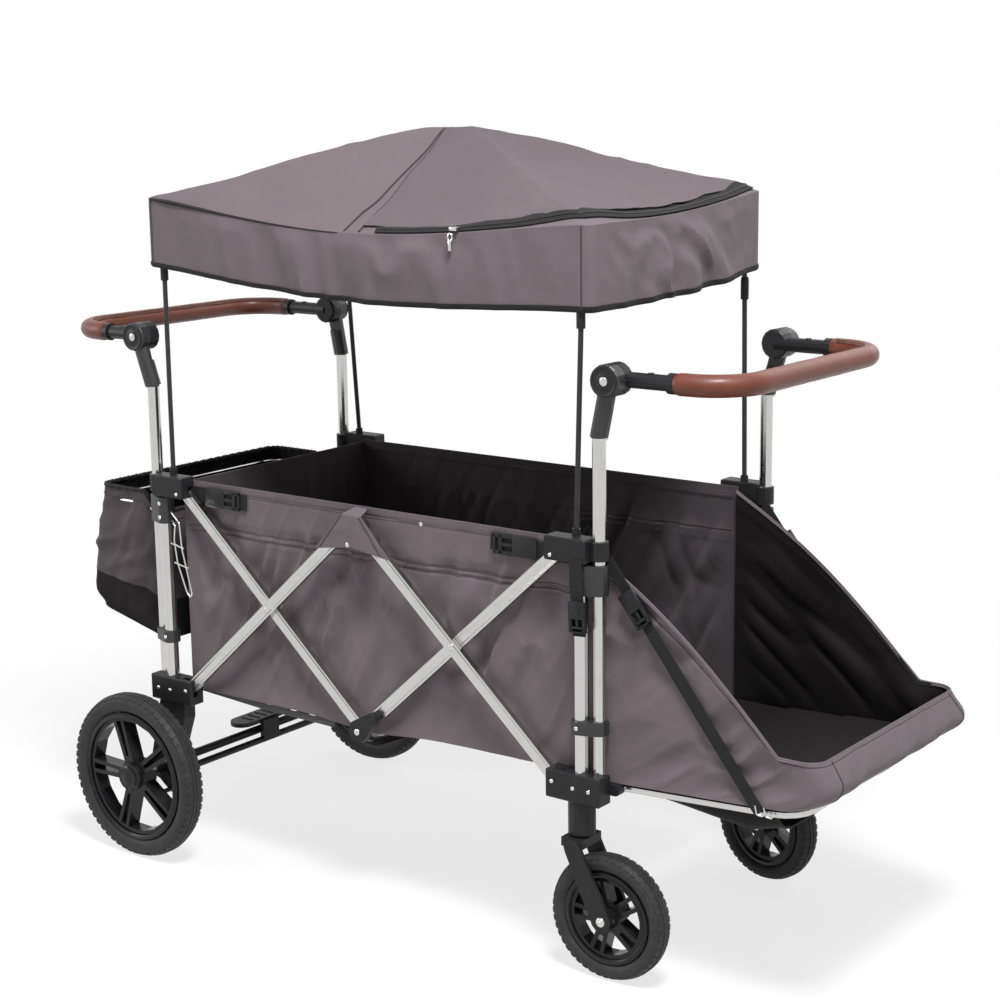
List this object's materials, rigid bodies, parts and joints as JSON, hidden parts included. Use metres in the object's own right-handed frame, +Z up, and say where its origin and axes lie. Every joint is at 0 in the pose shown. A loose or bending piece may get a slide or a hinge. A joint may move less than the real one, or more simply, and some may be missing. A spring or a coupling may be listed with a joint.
{
  "type": "stroller wagon",
  "caption": "Folding stroller wagon with a scissor frame, cloth tub, footwell, storage basket, canopy, tilting handles at both ends and swivelling front wheels.",
  "frame": {"origin": "centre of the overall box on the ground plane, wagon standing unfolded", "axes": "+X forward to the footwell end, +Y to the wagon's left, +Z up"},
  "size_m": [1.5121, 0.668, 1.241],
  "materials": {
    "aluminium": "satin",
    "black_plastic": "satin",
    "grey_plastic": "satin",
    "charcoal_cloth": "woven",
    "lining_cloth": "woven",
    "leatherette": "satin",
    "tyre_rubber": "matt",
    "webbing": "woven"
  },
  "bodies": {
    "rear_frame": {"rear_post_left": "aluminium", "rear_post_right": "aluminium", "rear_handle_tube_left": "aluminium", "rear_handle_tube_right": "aluminium", "rear_bracket_left": "black_plastic", "rear_bracket_right": "black_plastic", "side_panel_left": "charcoal_cloth", "side_panel_right": "charcoal_cloth", "rear_axle": "black_plastic", "storage_basket": "charcoal_cloth", "basket_hanger": "aluminium", "rear_panel": "charcoal_cloth", "floor_board": "lining_cloth"},
    "rear_lower_bars": {"rear_lower_bar_left": "aluminium", "rear_lower_bar_right": "aluminium"},
    "rear_upper_bars": {"rear_upper_bar_left": "aluminium", "rear_upper_bar_right": "aluminium"},
    "rear_slider": {"rear_top_bracket_left": "black_plastic", "rear_top_bracket_right": "black_plastic", "rear_canopy_pole_left": "black_plastic", "rear_canopy_pole_right": "black_plastic", "canopy": "charcoal_cloth", "canopy_frame": "black_plastic"},
    "front_upper_bars": {"front_upper_bar_left": "aluminium", "front_upper_bar_right": "aluminium", "middle_knuckle_left": "black_plastic", "middle_knuckle_right": "black_plastic"},
    "front_slider": {"front_top_bracket_left": "black_plastic", "front_top_bracket_right": "black_plastic", "front_canopy_pole_left": "black_plastic", "front_canopy_pole_right": "black_plastic"},
    "front_lower_bars": {"front_lower_bar_left": "aluminium", "front_lower_bar_right": "aluminium"},
    "front_frame": {"front_post_left": "aluminium", "front_post_right": "aluminium", "front_handle_tube_left": "aluminium", "front_handle_tube_right": "aluminium", "front_bracket_left": "black_plastic", "front_bracket_right": "black_plastic", "footwell_strap_left": "webbing", "footwell_strap_right": "webbing", "footwell": "charcoal_cloth"},
    "rear_handle": {"rear_handle_bar": "grey_plastic", "rear_handle_grip": "leatherette"},
    "front_handle": {"front_handle_bar": "grey_plastic", "front_handle_grip": "leatherette"},
    "brake": {"brake_pedal": "black_plastic"},
    "footrest": {"footrest_tube": "aluminium", "under_pouch": "lining_cloth"},
    "rear_wheel_left": {"rear_rim_left": "black_plastic", "rear_tyre_left": "tyre_rubber"},
    "caster_left": {"caster_fork_left": "black_plastic"},
    "front_wheel_left": {"front_rim_left": "black_plastic", "front_tyre_left": "tyre_rubber"},
    "rear_wheel_right": {"rear_rim_right": "black_plastic", "rear_tyre_right": "tyre_rubber"},
    "caster_right": {"caster_fork_right": "black_plastic"},
    "front_wheel_right": {"front_rim_right": "black_plastic", "front_tyre_right": "tyre_rubber"}
  },
  "joints": [
    {"name": "fold", "type": "hinge", "parent": "rear_frame", "child": "rear_lower_bars", "pos_m": [-0.45805, 0, 0.296], "axis": [0, -1, 0], "range_deg": [0, 29], "deforming": ["side_panel_left", "side_panel_right", "floor_board", "canopy", "canopy_frame"]},
    {"name": "rear_cross", "type": "hinge", "parent": "rear_lower_bars", "child": "rear_upper_bars", "pos_m": [-0.26505, 0, 0.468], "axis": [0, -1, 0], "range_deg": [-58, 0]},
    {"name": "rear_top_slide", "type": "hinge", "parent": "rear_upper_bars", "child": "rear_slider", "pos_m": [-0.45805, 0, 0.64], "axis": [0, -1, 0], "range_deg": [0, 29]},
    {"name": "low_middle", "type": "hinge", "parent": "rear_upper_bars", "child": "front_upper_bars", "pos_m": [-0.07205, 0, 0.296], "axis": [0, -1, 0], "range_deg": [0, 58]},
    {"name": "front_top_slide", "type": "hinge", "parent": "front_upper_bars", "child": "front_slider", "pos_m": [0.31394, 0, 0.64], "axis": [0, -1, 0], "range_deg": [-29, 0]},
    {"name": "high_middle", "type": "hinge", "parent": "rear_lower_bars", "child": "front_lower_bars", "pos_m": [-0.07205, 0, 0.64], "axis": [0, -1, 0], "range_deg": [-58, 0]},
    {"name": "front_low", "type": "hinge", "parent": "front_lower_bars", "child": "front_frame", "pos_m": [0.31394, 0, 0.296], "axis": [0, -1, 0], "range_deg": [0, 29]},
    {"name": "rear_handle_tilt", "type": "hinge", "parent": "rear_frame", "child": "rear_handle", "pos_m": [-0.55005, 0, 0.899], "axis": [0, 1, 0], "range_deg": [-60, 90]},
    {"name": "front_handle_tilt", "type": "hinge", "parent": "front_frame", "child": "front_handle", "pos_m": [0.40595, 0, 0.899], "axis": [0, -1, 0], "range_deg": [-60, 90]},
    {"name": "brake_press", "type": "hinge", "parent": "rear_frame", "child": "brake", "pos_m": [-0.52006, 0, 0.13], "axis": [0, -1, 0], "range_deg": [0, 12]},
    {"name": "footrest_lift", "type": "hinge", "parent": "front_frame", "child": "footrest", "pos_m": [0.40795, 0, 0.2915], "axis": [0, -1, 0], "range_deg": [0, 75], "deforming": ["footwell", "footwell_strap_left", "footwell_strap_right", "under_pouch"]},
    {"name": "rear_wheel_spin_left", "type": "hinge", "parent": "rear_frame", "child": "rear_wheel_left", "pos_m": [-0.53605, 0.309, 0.1445], "axis": [0, 1, 0], "continuous": true},
    {"name": "caster_swivel_left", "type": "hinge", "parent": "front_frame", "child": "caster_left", "pos_m": [0.35295, 0.24, 0.215], "axis": [0, 0, 1], "continuous": true},
    {"name": "front_wheel_spin_left", "type": "hinge", "parent": "caster_left", "child": "front_wheel_left", "pos_m": [0.40203, 0.23046, 0.097], "axis": [0.1908, 0.9816, 0], "continuous": true},
    {"name": "rear_wheel_spin_right", "type": "hinge", "parent": "rear_frame", "child": "rear_wheel_right", "pos_m": [-0.53605, -0.309, 0.1445], "axis": [0, 1, 0], "continuous": true},
    {"name": "caster_swivel_right", "type": "hinge", "parent": "front_frame", "child": "caster_right", "pos_m": [0.35295, -0.24, 0.215], "axis": [0, 0, 1], "continuous": true},
    {"name": "front_wheel_spin_right", "type": "hinge", "parent": "caster_right", "child": "front_wheel_right", "pos_m": [0.40291, -0.23825, 0.097], "axis": [-0.0349, 0.9994, 0], "continuous": true}
  ],
  "couplings": [
    {"joint": "rear_cross", "follows": "fold", "ratio": -2},
    {"joint": "rear_top_slide", "follows": "fold", "ratio": 1},
    {"joint": "low_middle", "follows": "fold", "ratio": 2},
    {"joint": "front_top_slide", "follows": "fold", "ratio": -1},
    {"joint": "high_middle", "follows": "fold", "ratio": -2},
    {"joint": "front_low", "follows": "fold", "ratio": 1}
  ]
}
